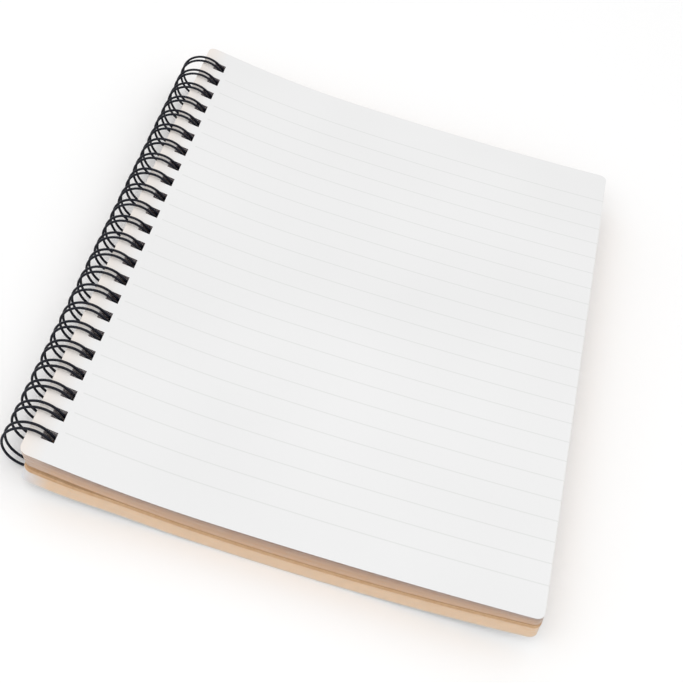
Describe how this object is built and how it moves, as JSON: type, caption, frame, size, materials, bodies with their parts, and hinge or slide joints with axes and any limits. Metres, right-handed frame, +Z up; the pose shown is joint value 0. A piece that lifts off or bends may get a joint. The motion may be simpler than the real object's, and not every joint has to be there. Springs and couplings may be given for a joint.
{
  "type": "spiral notebook",
  "caption": "Ruled notebook on a twin-loop wire, folded back on itself: unturned pages on top, both covers and the turned pages beneath.",
  "frame": {"origin": "centre of the bounding box's underside, on the surface the notebook lies on", "axes": "+X from the wire to the fore edge, +Y along the wire towards the top of the page, +Z up"},
  "size_m": [0.1604, 0.205, 0.0168],
  "materials": {
    "wire": "black coated wire, satin",
    "page_paper": "matte uncoated paper with pale grey ruling",
    "cover_card": "matte brown card"
  },
  "bodies": {
    "notebook": {"twin_loop_wire": "wire", "page_block": "page_paper"},
    "back_cover": {"back_cover": "cover_card"},
    "turned_part": {"front_cover": "cover_card", "turned_pages": "page_paper"}
  },
  "joints": [
    {"name": "back_cover_swing", "type": "hinge", "parent": "notebook", "child": "back_cover", "pos_m": [-0.07184, 0, 0.0084], "axis": [0, 1, 0], "range_deg": [0, 180]},
    {"name": "turned_part_swing", "type": "hinge", "parent": "back_cover", "child": "turned_part", "pos_m": [-0.07184, 0, 0.0084], "axis": [0, 1, 0], "range_deg": [0, 180]}
  ]
}
